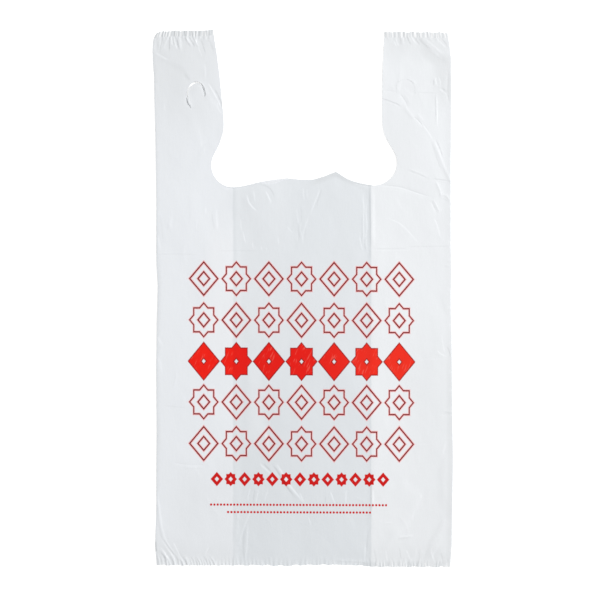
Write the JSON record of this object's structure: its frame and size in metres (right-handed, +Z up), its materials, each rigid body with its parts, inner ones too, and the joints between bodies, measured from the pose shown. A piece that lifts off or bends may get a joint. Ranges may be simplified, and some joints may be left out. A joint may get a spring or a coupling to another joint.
{
  "type": "plastic carrier bag",
  "caption": "Flat folded carrier bag of thin film with side gussets, welded ends, a die-cut mouth and two loop handles.",
  "frame": {"origin": "under the middle of the bag, on the surface that it lies on", "axes": "+X across the bag to its right edge, +Y along the bag from the bottom weld to the handles, +Z up through the layers to the printed front panel"},
  "size_m": [0.292, 0.533, 0.007],
  "materials": {
    "film": "thin milky polyethylene film with a soft sheen and red ink on the front"
  },
  "bodies": {
    "root": {"bag": "film"}
  },
  "joints": []
}
